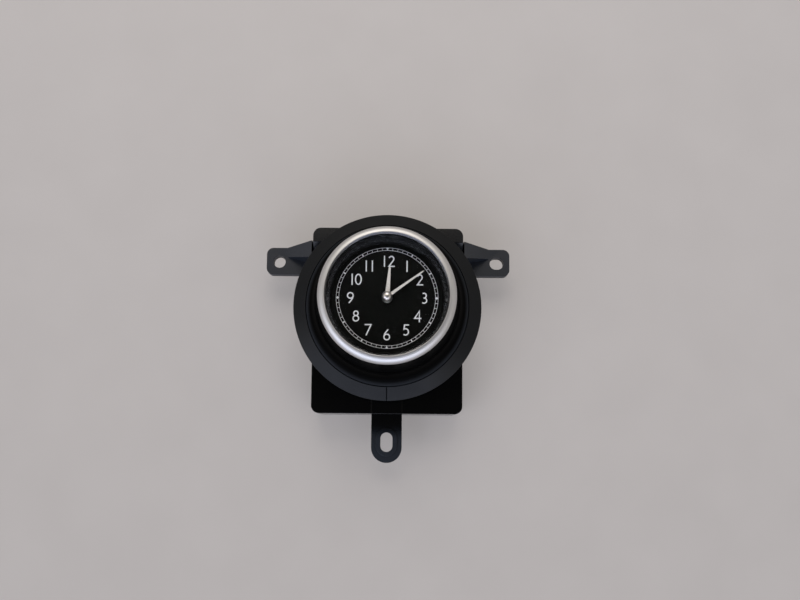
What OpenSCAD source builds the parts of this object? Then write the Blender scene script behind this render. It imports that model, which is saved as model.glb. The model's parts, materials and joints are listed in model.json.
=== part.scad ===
// Dashboard clock: a chrome-rimmed dial in a flanged barrel, on a flat box with three fixing lugs.
// The dial axis is Z and the dial faces +Z, with twelve o'clock towards +Y.
// The origin lies on the dial axis, on the flat rear face.

/* [Housing box] */
// Width of the box, left to right
housing_w = 61.6; // [61.4:0.2:72]
// Length of the box, from the twelve o'clock side to the six o'clock side
housing_len = 74.8; // [74:0.2:90]
// How far the middle of the box lies below the dial axis
housing_shift = 4.2; // [3:0.1:6]
// Depth of the box, from the rear face to the front of its front wall
housing_depth = 15.5; // [15:0.1:22]
// Thickness of the side walls
housing_wall = 2; // [1.6:0.1:2.4]
// Thickness of the front wall
front_wall = 2.2; // [1.6:0.1:2.6]
// Corner radius of the box
housing_corner = 3.2; // [2.6:0.1:4]
// Height of the shoulder along the twelve o'clock edge
shoulder_h = 6.5; // [4:0.1:6.6]
// Width of the flat top of the shoulder
shoulder_w = 5.7; // [5:0.1:7]
// Slope of the shoulder's side that faces the barrel, in degrees
shoulder_slope = 32; // [30:1:45]
// Length of the pockets that core out the shoulder
pocket_len = 9; // [6:0.1:11]
// Step between the side of the box and the end of the shoulder
shoulder_step = 0.5; // [0.3:0.1:1]
// Thickness of the rear cover
cover_t = 2; // [1.8:0.1:3]

/* [Ears and tab] */
// Sideways distance from the dial axis to the ear screws
ear_x = 45.6; // [44:0.1:52]
// Distance of the ear screws above the dial axis
ear_y = 22; // [21:0.1:23]
// Width of an ear
ear_w = 11.4; // [11:0.1:13]
// How far the middle of an ear lies above its screw
ear_offset = 0.3; // [0:0.1:0.6]
// Length of an ear beyond its screw
ear_reach = 5.4; // [5:0.1:8]
// Outer corner radius of an ear
ear_corner = 2.8; // [2:0.1:3.4]
// Thickness of the ears and the tab
ear_t = 2.8; // [2:0.1:3.4]
// How far the ears and the tab lie behind the front wall
ear_drop = 4; // [3:0.1:5]
// Screw hole in the left ear, and the width of the slots
screw_hole = 5; // [4.2:0.1:5.6]
// Length of the slot in the right ear
ear_slot_len = 5.8; // [5.7:0.1:6.6]
// Rise of the gusset on an ear
gusset_rise = 10.4; // [8:0.1:10.8]
// Width of a gusset at its outer end
gusset_w = 4; // [3:0.1:4.6]
// Width of a gusset at the box
gusset_root = 6.7; // [5:0.1:7.2]
// Space between an ear screw and the foot of its gusset
gusset_start = 3.2; // [3:0.1:5]
// Thickness of the web that ties a gusset to the shoulder
gusset_web = 1.2; // [0.8:0.1:2]
// Distance from the dial axis to the tab screw
tab_y = 53.2; // [52:0.1:60]
// Width of the tab, which has a full round end
tab_w = 12.6; // [11:0.1:15]
// Length of the tab beyond its screw
tab_reach = 8.5; // [8:0.1:11]
// Length of the slot in the tab
tab_slot_len = 8; // [6:0.1:9]
// Height of the collar round the tab slot and of the strap on the front wall
collar_h = 0.6; // [0.4:0.1:1]
// Width of the collar round the tab slot
collar_w = 1.8; // [1:0.1:2.4]

/* [Barrel and flange] */
// Width of the flange outside the foot of the barrel
flange_w = 5.5; // [5:0.1:8]
// Height of the flange edge above the front wall
flange_lift = 11; // [9.4:0.1:14]
// Rise of the flange from its edge to the foot of the barrel
flange_rise = 3; // [2:0.1:4]
// Radius of the foot of the barrel, where the flange meets it
foot_r = 31.5; // [31:0.1:33]
// Thickness of the flange under its trim ring
flange_t = 1.6; // [1.2:0.1:2]
// Thickness of the trim ring on the flange
trim_t = 1.2; // [0.8:0.1:1.6]
// Width of the butt joint in the trim ring
trim_gap = 0.3; // [0.2:0.05:0.6]
// Radius of the concave flare that runs from the barrel into the slope of the flange
flare_r = 8.8; // [7:0.1:9.4]
// Wall of the barrel round the dial
barrel_wall = 2; // [1.8:0.1:2.6]
// Wall of the barrel below the movement
skirt_wall = 3.5; // [3.4:0.1:4]
// Height of the movement seat above the flange edge
seat_lift = 8.7; // [8.5:0.1:12]
// Width of the movement seat
seat_w = 1.4; // [1.1:0.1:1.6]
// Height of the seat's rim
seat_h = 1.8; // [1.4:0.1:2.4]

/* [Bezel, lens and dial] */
// Diameter of the dial plate
dial_d = 45.6; // [45:0.1:48]
// Thickness of the dial plate
dial_t = 0.6; // [0.4:0.1:1]
// Diameter of the dial that shows inside the reflector
dial_shown_d = 40.6; // [40:0.1:41]
// Height from the dial to the top of the reflector
hand_space = 4.7; // [4.5:0.1:6]
// Diameter of the opening in the bezel
bezel_bore_d = 43.8; // [43.4:0.1:44.2]
// Round on the outer edge of the bezel
bezel_round = 2.8; // [2.2:0.1:2.9]
// Height of the bezel's crest above the lens
bezel_crest = 1.1; // [0.8:0.1:1.6]
// How far the bezel stands out past the barrel
bezel_proud = 0.2; // [0.1:0.1:0.6]
// Edge of the bezel's inner bevel above the lens
bezel_lip = 0.3; // [0.2:0.1:0.5]
// Thickness of the lens
lens_t = 1.5; // [1.2:0.1:2]
// Thickness of the lens gasket
gasket_t = 0.3; // [0.2:0.05:0.5]
// Depth of the bezel's socket over the barrel
socket_depth = 1.5; // [1.2:0.1:1.8]
// Wall of the barrel inside that socket
spigot_wall = 1.1; // [0.9:0.05:1.2]
// Thickness of the light guide behind the dial
guide_t = 1; // [0.8:0.1:1.4]

/* [Hands] */
// Length of the minute hand
minute_len = 16.7; // [14:0.1:18]
// Length of the hour hand
hour_len = 11.8; // [10:0.1:13]
// Width of the minute hand near the hub
minute_w = 1.2; // [1:0.1:1.8]
// Width of the hour hand near the hub
hour_w = 1.9; // [1.4:0.1:2.4]
// Thickness of a hand
hand_t = 0.3; // [0.2:0.05:0.4]
// Diameter of the ball cap over the hub
cap_d = 4; // [3.8:0.1:4.6]
// Space between the two hands
hand_gap = 0.7; // [0.5:0.1:0.9]
// Minutes past the hour that the hands show
shown_minute = 9; // [0:1:59]
// Hour that the hands show
shown_hour = 12; // [1:1:12]

/* [Movement] */
// Thickness of the movement plates
plate_t = 1.4; // [1:0.1:1.8]
// Space between the movement plates
train_space = 7.2; // [6.8:0.1:8]
// Space for the motion work between the front plate and the light guide
motion_space = 3.3; // [3.2:0.1:4]
// Tooth module of the motion work
motion_module = 0.25; // [0.22:0.01:0.26]
// Tooth module of the going train
train_module = 0.28; // [0.26:0.01:0.28]
// Play on each flank of a tooth
gear_play = 0.05; // [0.04:0.005:0.06]
// Thickness of a gear wheel
wheel_t = 0.9; // [0.7:0.05:1]
// Radius of the centre arbor
arbor_r = 0.8; // [0.7:0.05:0.9]
// Radius of the small pivots and the motor shaft
pivot_r = 0.6; // [0.5:0.05:0.7]
// Running clearance of a pivot in its hole
pivot_clear = 0.04; // [0.03:0.005:0.06]
// Radius of the pillars between the plates
pillar_r = 1.6; // [1.5:0.1:2]
// Radius of the motor can
can_r = 9; // [8.4:0.1:9.2]
// Height of the motor can
can_h = 9.6; // [9:0.1:10.4]
// Radius of the rotor magnet
magnet_r = 3; // [2.6:0.1:3.1]

/* [Electronics] */
// Thickness of the circuit boards
board_t = 1.6; // [1:0.1:2]
// Space between the main board and the front wall
board_space = 3.3; // [3:0.1:4]
// Width of the connector shell
plug_w = 22; // [20:0.2:26]
// Height of the connector shell
plug_l = 10; // [9:0.2:12]
// Wall of the connector shell
plug_wall = 1.3; // [1:0.1:1.5]
// Distance of the connector's middle from the six o'clock edge of the box
plug_in = 15.6; // [14:0.2:17]
// Spacing of the connector pins
pin_pitch = 2.54; // [2:0.01:2.7]

/* [Hidden] */
$fn = 64;
cut = 1;
fit = 0.05;
loose_fit = 0.2;

// Heights, from the rear face upwards
z_front = housing_depth;
z_wall = z_front - front_wall;
z_board_top = z_wall - board_space;
z_board = z_board_top - board_t;
z_ear_top = z_front - ear_drop;
z_ear = z_ear_top - ear_t;
z_flange = z_front + flange_lift;
z_foot = z_flange + flange_rise;
z_seat = z_flange + seat_lift;
z_plate_top = z_seat + plate_t;
z_guide = z_plate_top + motion_space;
z_dial = z_guide + guide_t;
z_dial_top = z_dial + dial_t;
z_reflector_top = z_dial_top + hand_space;
z_lens = z_reflector_top + gasket_t;
z_lens_top = z_lens + lens_t;
spigot_gap = 0.4;
z_spigot_top = z_lens - spigot_gap;
z_barrel_top = z_spigot_top - socket_depth;
z_back_top = z_seat - train_space;
z_back = z_back_top - plate_t;
z_can = z_back - can_h;

// Radii of the stack in the barrel
dial_r = dial_d / 2;
bore_r = dial_r + loose_fit;
barrel_r = bore_r + barrel_wall;
spigot_r = bore_r + spigot_wall;
seat_r = bore_r - seat_w;
skirt_set_in = 1.5;
trim_foot_gap = 0.3;
flange_set_in = 0.3;
skirt_r = foot_r - skirt_set_in;
skirt_in_r = skirt_r - skirt_wall;
flange_r = foot_r + flange_w;
trim_foot_r = foot_r + trim_foot_gap;
bezel_bore_r = bezel_bore_d / 2;
spacer_r = seat_r;
back_plate_gap = 0.6;
back_plate_r = seat_r - back_plate_gap;

// Trim ring height at a radius
function trim_z(r) = z_foot - (r - foot_r) * flange_rise / flange_w;

// Ears, tab and their screws
ear_mid = ear_y + ear_offset;
ear_low = ear_mid - ear_w / 2;
ear_high = ear_mid + ear_w / 2;
box_low = -housing_shift - housing_len / 2;
box_high = -housing_shift + housing_len / 2;
slot_r = screw_hole / 2;

// Lip of the rear cover inside the walls
lip_t = 1.2;
lip_h = 2;

// Case screws
screw_r = 1;
screw_head_r = 2;
screw_head_h = 1.3;
screw_bite = 3.4;
screw_short = 0.3;
screw_sink = 0.1;
barrel_head_r = 1.7;
cross_len = 1.2;
cross_w = 0.3;
cross_depth = 0.6;
post_r = 2.6;
post_margin = 3.3;
post_in = housing_wall + post_margin;
post_x = housing_w / 2 - post_in;
post_y = housing_len / 2 - post_in;
posts = [for (sx = [-1, 1], sy = [-1, 1]) [sx * post_x, sy * post_y - housing_shift]];
barrel_screw_r = (skirt_r + skirt_in_r) / 2;
barrel_screw_angles = [45, 135, 225, 315];

// Gear train: the teeth and the places of the arbors
centre_teeth = 72;
step_teeth = 12;
middle_teeth = 60;
cannon_teeth = 15;
minute_teeth = 45;
minute_pinion_teeth = 12;
hour_teeth = 48;
middle_dist = (centre_teeth + step_teeth) * train_module / 2;
rotor_dist = (middle_teeth + step_teeth) * train_module / 2;
motion_dist = (cannon_teeth + minute_teeth) * motion_module / 2;
middle_angle = 0;
rotor_angle = 130;
motion_angle = 130;
middle_at = [middle_dist * cos(middle_angle), middle_dist * sin(middle_angle)];
rotor_at = middle_at + rotor_dist * [cos(rotor_angle), sin(rotor_angle)];
stud_at = motion_dist * [cos(motion_angle), sin(motion_angle)];
end_play = 0.3;
hub_wall = 1;
small_hub_wall = 0.5;
hub_r = arbor_r + hub_wall;
small_hub_r = pivot_r + small_hub_wall;

// Levels of the train, between the plates
middle_wheel_lift = 1;
wheel_gap = 2.2;
pinion_reach = 0.5;
z_middle_wheel = z_back_top + middle_wheel_lift;
z_centre_wheel = z_middle_wheel + wheel_t + wheel_gap;

// Levels of the motion work, between the front plate and the light guide
shake = 0.1;
motion_gap = 0.4;
z_cannon = z_plate_top + end_play;
z_minute_wheel = z_cannon + shake;
z_hour_wheel = z_minute_wheel + wheel_t + motion_gap;
stud_r = 0.8;

// Levels of the hands
hand_lift = 1;
cannon_pipe_wall = 0.4;
hour_pipe_wall = 0.45;
hand_step = 0.2;
pipe_room = 0.3;
arbor_stand = 0.8;
hand_point = 0.9;
hand_taper = 0.4;
z_hour_hand = z_dial_top + hand_lift;
z_minute_hand = z_hour_hand + hand_t + hand_gap;
cannon_pipe_r = arbor_r + cannon_pipe_wall;
hour_pipe_r = cannon_pipe_r + pivot_clear + hour_pipe_wall;
hour_seat_r = hour_pipe_r - hand_step;
minute_turn = shown_minute * 6;
hour_turn = shown_hour * 30 + shown_minute / 2;

// Pillars and plate screws
pillar_ring_r = 18.3;
pillar_angles = [60, 180, 300];
plate_screw_r = 0.8;
plate_head_r = 1.5;
plate_head_h = 0.8;

// Motor
can_wall = 0.8;
claws = 6;
claw_t = 0.6;
claw_share = 0.4;
claw_gap = 0.35;
claw_r = magnet_r + claw_gap + claw_t;
spool_room = 0.3;
spool_wall = 0.6;
magnet_room = 0.9;
winding_in = 0.4;
bobbin_r = claw_r + spool_room;
spool_r = bobbin_r + spool_wall;
spool_flange_r = can_r - can_wall - spool_room;
spool_flange_t = 0.7;
z_spool = z_can + can_wall + shake;
z_spool_top = z_back - can_wall - spool_room;
z_magnet = z_can + can_wall + magnet_room;
z_magnet_top = z_back - can_wall - magnet_room;
motor_pin_r = 0.3;
motor_pin_ring_r = 6.5;
motor_pin_angles = [200, 220, 240, 260];
motor_pins_at = [for (a = motor_pin_angles) rotor_at + motor_pin_ring_r * [cos(a), sin(a)]];

// Posts that carry the supply up to the backlight board
pin_tail = 1;
pin_head = 0.4;
supply_pin_r = 0.5;
supply_ring_r = 18.3;
supply_angles = [230, 240, 250];
led_board_r = spacer_r - loose_fit;
led_board_in_r = 15.2;
led_board_t = 0.8;
led_angles = [30, 90, 150, 210, 270, 330];
led_ring_r = 18.3;
led_size = [2.6, 3.2, 0.9];

// Pieces on the main board
board_edge = 0.6;
board_w = housing_w - 2 * (housing_wall + board_edge);
board_l = housing_len - 2 * (housing_wall + board_edge);
chip_at = [-14, 10];
chip_w = 9;
chip_h = 1.4;
crystal_at = [-15, -4];
crystal_w = 4.6;
crystal_l = 11;
crystal_h = 3.2;
capacitor_r = 3.2;
capacitor_h = 5.6;
capacitors_at = [[2, -16], [5, -8]];
regulator_at = [14, -14];
regulator_size = [6.5, 7, 2.3];

// Connector pins, in a row to the left of the free half of the socket
plug_y = -box_low - plug_in;
pin_margin = 2;
pin_w = 0.64;
pin_hole = 0.75;
pin_count = 4;
pin_first_x = -plug_w / 2 + plug_wall + pin_margin;
pins_at = [for (i = [0 : pin_count - 1]) [pin_first_x + i * pin_pitch, -plug_y]];
pin_stand = 1.8;
plug_set_back = 0.3;
plug_floor = 1.5;

// Places its children at a radius and an angle about the dial axis
module polar(r, a) { translate([r * cos(a), r * sin(a), 0]) children(); }

// Disc or ring between two heights
module disc(r, low, high) { translate([0, 0, low]) cylinder(r = r, h = high - low); }
module hole(r, low, high) { disc(r, low - cut, high + cut); }
module ring(r_out, r_in, low, high) {
    difference() {
        disc(r_out, low, high);
        hole(r_in, low, high);
    }
}

// Rectangle with round corners, about the origin
module rounded_rect(w, l, r) {
    square([w - 2 * r, l], center = true);
    square([w, l - 2 * r], center = true);
    for (sx = [-1, 1], sy = [-1, 1]) {
        translate([sx * (w / 2 - r), sy * (l / 2 - r)]) circle(r);
    }
}

// Slab with the outline of the box, drawn in by a margin
module box_slab(margin, low, high) {
    translate([0, -housing_shift, low])
        linear_extrude(high - low)
            rounded_rect(housing_w - 2 * margin, housing_len - 2 * margin, housing_corner - margin / 2);
}

// Stadium outline between two points on a line along X or Y
module stadium_x(r, half) {
    square([2 * half, 2 * r], center = true);
    for (s = [-1, 1]) translate([s * half, 0]) circle(r);
}
module stadium_y(r, half) { rotate(90) stadium_x(r, half); }

// Involute gear outline with a tooth on the X axis
pressure_angle = 20;
tooth_tip = 0.9;
tooth_root = 1.2;
flank_steps = 3;
function inv_angle(r, base) = r <= base ? 0 : tan(acos(base / r)) * 180 / PI - acos(base / r);
function half_tooth(r, pitch_r, n) =
    let (base = pitch_r * cos(pressure_angle))
    90 / n - gear_play * 180 / (PI * pitch_r) + inv_angle(pitch_r, base) - inv_angle(r, base);
function on_circle(r, a) = [r * cos(a), r * sin(a)];
function gear_points(n, m) =
    let (pitch_r = n * m / 2, root = pitch_r - tooth_root * m, tip = pitch_r + tooth_tip * m)
    let (radii = [for (k = [0 : flank_steps]) root + (tip - root) * k / flank_steps])
    [for (i = [0 : n - 1]) each concat(
        [for (k = [0 : flank_steps]) on_circle(radii[k], i * 360 / n - half_tooth(radii[k], pitch_r, n))],
        [for (k = [flank_steps : -1 : 0]) on_circle(radii[k], i * 360 / n + half_tooth(radii[k], pitch_r, n))]
    )];
module gear(n, m, turn, low, high) {
    translate([0, 0, low]) linear_extrude(high - low) rotate(turn) polygon(gear_points(n, m));
}

// Half of the ears: the pad and the gusset on the +X side, without a screw hole
module ear() {
    root_x = housing_w / 2 - housing_wall / 2;
    end_x = ear_x + ear_reach;
    translate([0, 0, z_ear]) linear_extrude(ear_t) {
        translate([root_x, ear_low]) square([end_x - ear_corner - root_x, ear_w]);
        translate([root_x, ear_low + ear_corner]) square([end_x - root_x, ear_w - 2 * ear_corner]);
        for (y = [ear_low + ear_corner, ear_high - ear_corner])
            translate([end_x - ear_corner, y]) circle(ear_corner);
    }
    gusset_x = ear_x - gusset_start;
    side_x = housing_w / 2;
    intersection() {
        translate([0, ear_high, z_ear_top - cut])
            rotate([90, 0, 0])
                linear_extrude(2 * gusset_root)
                    polygon([[side_x, 0], [gusset_x, 0], [gusset_x, cut], [side_x, gusset_rise + cut]]);
        translate([0, 0, z_ear])
            linear_extrude(gusset_rise + ear_t + cut)
                polygon([
                    [side_x, ear_high], [gusset_x, ear_high],
                    [gusset_x, ear_high - gusset_w], [side_x, ear_high - gusset_root]
                ]);
    }
    web_top = z_ear_top + gusset_rise - shoulder_step;
    translate([side_x - shoulder_step - fit, ear_high - gusset_web, z_wall])
        cube([shoulder_step + 2 * fit, gusset_web, web_top - z_wall]);
}

// Tab at six o'clock with its strap on the front wall and the collar round its slot
module tab() {
    end_y = -tab_y - tab_reach + tab_w / 2;
    translate([0, 0, z_ear]) linear_extrude(ear_t) {
        translate([-tab_w / 2, end_y]) square([tab_w, box_low + housing_wall / 2 - end_y]);
        translate([0, end_y]) circle(tab_w / 2);
    }
    slot_half = tab_slot_len / 2 - slot_r;
    translate([0, -tab_y, z_ear_top]) linear_extrude(collar_h) stadium_y(slot_r + collar_w, slot_half);
    translate([-tab_w / 2, box_low, z_wall])
        cube([tab_w, -skirt_r - box_low, front_wall + collar_h]);
}

// Shoulder along the twelve o'clock edge, with a slope down towards the barrel
module shoulder() {
    half_w = housing_w / 2 - shoulder_step;
    flat_y = box_high - shoulder_w;
    slope_y = flat_y - shoulder_h / tan(shoulder_slope);
    intersection() {
        translate([-half_w, 0, z_front])
            rotate([90, 0, 90])
                linear_extrude(2 * half_w)
                    polygon([
                        [box_high, -front_wall / 2], [box_high, shoulder_h], [flat_y, shoulder_h],
                        [slope_y, 0], [slope_y, -front_wall / 2]
                    ]);
        translate([0, -housing_shift, z_wall])
            linear_extrude(front_wall + shoulder_h + cut)
                rounded_rect(2 * half_w, housing_len, housing_corner);
    }
}

// Pockets that core out the two ends of the shoulder, open to the box
module shoulder_pockets() {
    pocket_end = housing_w / 2 - shoulder_step - housing_wall;
    pocket_start = pocket_end - pocket_len;
    for (side = [0, 1]) mirror([side, 0, 0])
        translate([pocket_start, box_high - shoulder_w, z_wall - cut])
            cube([pocket_len, shoulder_w - housing_wall, front_wall + shoulder_h - housing_wall + cut]);
}

module main_housing() {
    color("#232628") difference() {
        union() {
            difference() {
                union() {
                    box_slab(0, cover_t, z_front);
                    ear();
                    mirror([1, 0, 0]) ear();
                    tab();
                    shoulder();
                }
                box_slab(housing_wall, cover_t - cut, z_wall);
                shoulder_pockets();
            }
            for (p = posts) translate([p[0], p[1], 0]) disc(post_r, z_board_top, z_wall + front_wall / 2);
        }
        hole(skirt_in_r, z_wall, z_front + shoulder_h);
        disc(skirt_r + loose_fit, z_front, z_front + shoulder_h + cut);
        translate([-ear_x, ear_y, 0]) hole(slot_r, z_ear, z_ear_top);
        translate([ear_x, ear_y, z_ear - cut])
            linear_extrude(ear_t + 2 * cut) stadium_x(slot_r, (ear_slot_len - screw_hole) / 2);
        translate([0, -tab_y, z_ear - cut])
            linear_extrude(ear_t + collar_h + 2 * cut) stadium_y(slot_r, tab_slot_len / 2 - slot_r);
        for (p = posts) translate([p[0], p[1], 0])
            disc(screw_r + fit, z_board_top - cut, z_board_top + screw_bite);
        for (a = barrel_screw_angles) polar(barrel_screw_r, a) hole(screw_r + fit, z_wall, z_front);
    }
}

module rear_cover() {
    lip_in = housing_wall + loose_fit;
    color("#1a1c1d") difference() {
        union() {
            box_slab(0, 0, cover_t);
            difference() {
                box_slab(lip_in, cover_t / 2, cover_t + lip_h);
                box_slab(lip_in + lip_t, cover_t, cover_t + lip_h + cut);
            }
            for (p = posts) translate([p[0], p[1], 0]) disc(post_r, cover_t / 2, z_board);
        }
        for (p = posts) translate([p[0], p[1], 0]) {
            hole(screw_r + fit, 0, z_board);
            disc(screw_head_r + loose_fit, -cut, screw_sink + screw_head_h);
        }
        translate([0, -plug_y, 0])
            cube([plug_w + 2 * loose_fit, plug_l + 2 * loose_fit, 4 * cover_t], center = true);
    }
}

module cover_screws() {
    color("#b9bcc0") for (p = posts) translate([p[0], p[1], 0]) difference() {
        union() {
            disc(screw_head_r, screw_sink, screw_sink + screw_head_h);
            disc(screw_r, screw_head_h / 2, z_board_top + screw_bite - screw_short);
        }
        cross_cut(screw_head_r, screw_sink);
    }
}

// Cross recess in a screw head whose outer face is at a height and faces -Z
module cross_cut(head_r, face) {
    for (a = [0, 90]) rotate(a) translate([0, 0, face])
        cube([cross_len * head_r, cross_w * head_r, 2 * cross_depth], center = true);
}

module barrel() {
    flange_slope = atan(flange_rise / flange_w);
    flare_x = foot_r + flare_r * sin(flange_slope);
    waist_r = flare_x - flare_r;
    waist_z = z_foot + flare_r * cos(flange_slope);
    edge_r = flange_r - flange_set_in;
    seat_low = z_seat - seat_h;
    color("#141517") difference() {
        rotate_extrude() difference() {
            polygon([
                [skirt_in_r, z_front], [skirt_r, z_front], [skirt_r, trim_z(skirt_r) - trim_t - flange_t],
                [edge_r, trim_z(edge_r) - trim_t - flange_t], [edge_r, trim_z(edge_r) - trim_t],
                [foot_r, z_foot - trim_t], [foot_r, waist_z], [waist_r, waist_z],
                [barrel_r, z_barrel_top], [spigot_r, z_barrel_top], [spigot_r, z_spigot_top],
                [bore_r, z_spigot_top], [bore_r, z_seat], [seat_r, z_seat], [seat_r, seat_low],
                [seat_r + seat_w, seat_low - seat_w], [waist_r - barrel_wall, seat_low - seat_w],
                [skirt_in_r, z_flange]
            ]);
            translate([flare_x, waist_z]) circle(flare_r);
        }
        for (a = barrel_screw_angles) polar(barrel_screw_r, a)
            disc(screw_r + fit, z_front - cut, z_front + screw_bite);
    }
}

module barrel_screws() {
    color("#b9bcc0") for (a = barrel_screw_angles) polar(barrel_screw_r, a) difference() {
        union() {
            disc(barrel_head_r, z_wall - screw_head_h, z_wall);
            disc(screw_r, z_wall - screw_head_h / 2, z_front + screw_bite - screw_short);
        }
        cross_cut(barrel_head_r, z_wall - screw_head_h);
    }
}

module trim_ring() {
    color("#35383f") difference() {
        rotate_extrude() polygon([
            [trim_foot_r, trim_z(trim_foot_r)], [flange_r, z_flange],
            [flange_r, z_flange - trim_t], [trim_foot_r, trim_z(trim_foot_r) - trim_t]
        ]);
        translate([-trim_gap / 2, -flange_r - cut, z_flange - 2 * trim_t])
            cube([trim_gap, flange_r, flange_rise + 4 * trim_t]);
    }
}

module bezel() {
    edge_r = barrel_r + bezel_proud;
    round_z = z_lens_top + bezel_crest - bezel_round;
    round_x = edge_r - bezel_round;
    color("#b4b6b8") rotate_extrude() difference() {
        union() {
            polygon([
                [bezel_bore_r, z_barrel_top], [barrel_r, z_barrel_top], [edge_r, round_z],
                [round_x, round_z + bezel_round], [bezel_bore_r, z_lens_top + bezel_lip]
            ]);
            translate([round_x, round_z]) intersection() {
                circle(bezel_round);
                square(bezel_round);
            }
        }
        translate([0, z_barrel_top - cut]) square([spigot_r + fit, socket_depth + cut + fit]);
        square([bore_r + fit, z_lens_top]);
    }
}

module lens() { color("#dfe6e8", 0.35) disc(dial_r, z_lens, z_lens_top); }

module lens_gasket() { color("#18191a") ring(dial_r, bezel_bore_r, z_reflector_top, z_lens); }

module reflector_ring() {
    shown_r = dial_shown_d / 2;
    color("#4a4c4e") rotate_extrude() polygon([
        [shown_r, z_dial_top], [dial_r, z_dial_top],
        [dial_r, z_reflector_top], [bezel_bore_r, z_reflector_top]
    ]);
}

module dial() { color("#131416") ring(dial_r, hour_pipe_r + pipe_room, z_dial, z_dial_top); }

module light_guide() { color("#d9e2e6", 0.6) ring(dial_r, hour_pipe_r + 2 * pipe_room, z_guide, z_dial); }

module spacer_ring() { color("#e8e8e4") ring(dial_r, spacer_r, z_plate_top, z_guide); }

module backlight_board() {
    color("#1d5a3a") difference() {
        ring(led_board_r, led_board_in_r, z_plate_top, z_plate_top + led_board_t);
        for (a = pillar_angles) polar(pillar_ring_r, a) hole(plate_head_r + pipe_room, z_plate_top, z_guide);
        for (a = supply_angles) polar(supply_ring_r, a) hole(supply_pin_r + fit, z_plate_top, z_guide);
    }
}

module backlight_leds() {
    led_z = z_plate_top + led_board_t;
    color("#f2efdc") for (a = led_angles) rotate(a)
        translate([led_ring_r - led_size[0] / 2, -led_size[1] / 2, led_z]) cube(led_size);
}

module front_plate() {
    color("#c9b37a") difference() {
        disc(dial_r, z_seat, z_plate_top);
        hole(arbor_r + pivot_clear, z_seat, z_plate_top);
        translate(middle_at) hole(pivot_r + pivot_clear, z_seat, z_plate_top);
        translate(stud_at) hole(stud_r + fit, z_seat, z_plate_top);
        for (a = pillar_angles) polar(pillar_ring_r, a) hole(plate_screw_r + fit, z_seat, z_plate_top);
        for (a = supply_angles) polar(supply_ring_r, a) hole(2 * supply_pin_r, z_seat, z_plate_top);
    }
}

module back_plate() {
    color("#c9b37a") difference() {
        disc(back_plate_r, z_back, z_back_top);
        hole(arbor_r + pivot_clear, z_back, z_back_top);
        translate(middle_at) hole(pivot_r + pivot_clear, z_back, z_back_top);
        translate(rotor_at) hole(pivot_r + pivot_clear, z_back, z_back_top);
        for (a = pillar_angles) polar(pillar_ring_r, a) hole(plate_screw_r + fit, z_back, z_back_top);
        for (a = supply_angles) polar(supply_ring_r, a) hole(2 * supply_pin_r, z_back, z_back_top);
    }
}

module pillars() {
    tenon_r = plate_screw_r;
    color("#cdb56a") for (a = pillar_angles) polar(pillar_ring_r, a) difference() {
        union() {
            disc(pillar_r, z_back_top, z_seat);
            disc(tenon_r, z_back, z_back_top + plate_t);
        }
        disc(plate_screw_r + fit, z_seat - screw_bite, z_seat + cut);
    }
}

module plate_screws() {
    color("#b9bcc0") for (a = pillar_angles) polar(pillar_ring_r, a) {
        disc(plate_head_r, z_plate_top, z_plate_top + plate_head_h);
        disc(plate_screw_r, z_seat - screw_bite + screw_short, z_plate_top + plate_head_h / 2);
    }
}

module minute_wheel_stud() {
    color("#c4c6c8") translate(stud_at) disc(stud_r, z_seat, z_guide - end_play);
}

module centre_arbor() {
    color("#c4c6c8") disc(arbor_r, z_back + shake, z_minute_hand + hand_t + arbor_stand);
}

module centre_wheel() {
    color("#d8d4c4") difference() {
        union() {
            disc(hub_r, z_back_top + end_play, z_seat - end_play);
            gear(centre_teeth, train_module, middle_angle, z_centre_wheel, z_centre_wheel + wheel_t);
        }
        hole(arbor_r + fit / 2, z_back_top, z_seat);
    }
}

module cannon_pinion() {
    color("#c9b37a") difference() {
        union() {
            gear(cannon_teeth, motion_module, motion_angle, z_cannon, z_minute_wheel + wheel_t + shake);
            disc(cannon_pipe_r, z_cannon, z_minute_hand);
        }
        hole(arbor_r + fit / 2, z_cannon, z_minute_hand);
    }
}

// Tapered hand along +Y, with a pointed tip and a round hub
module hand_outline(length, root_w, hub_outer) {
    tip_w = root_w * hand_taper;
    circle(hub_outer);
    polygon([
        [-root_w / 2, 0], [root_w / 2, 0],
        [tip_w / 2, length - hand_point], [0, length], [-tip_w / 2, length - hand_point]
    ]);
}

module minute_hand() {
    color("#e6e3da") translate([0, 0, z_minute_hand]) linear_extrude(hand_t) difference() {
        rotate(-minute_turn) hand_outline(minute_len, minute_w, cannon_pipe_r + hand_step);
        circle(arbor_r + fit / 2);
    }
}

module hand_cap() {
    cap_r = cap_d / 2;
    cap_z = z_minute_hand + hand_t;
    color("#d0d1d2") difference() {
        translate([0, 0, cap_z]) intersection() {
            sphere(cap_r);
            cylinder(r = cap_r + cut, h = cap_r + cut);
        }
        disc(arbor_r + fit / 2, cap_z - cut, cap_z + arbor_stand + shake);
    }
}

module hour_wheel() {
    color("#d8d4c4") difference() {
        union() {
            gear(hour_teeth, motion_module, motion_angle + 180 / hour_teeth,
                z_hour_wheel, z_hour_wheel + wheel_t);
            disc(hour_pipe_r, z_hour_wheel, z_hour_hand);
            disc(hour_seat_r, z_hour_wheel, z_hour_hand + hand_t);
        }
        hole(cannon_pipe_r + pivot_clear, z_hour_wheel, z_hour_hand + hand_t);
    }
}

module hour_hand() {
    color("#e6e3da") translate([0, 0, z_hour_hand]) linear_extrude(hand_t) difference() {
        rotate(-hour_turn) hand_outline(hour_len, hour_w, hour_pipe_r + fit);
        circle(hour_seat_r + fit / 2);
    }
}

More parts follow.
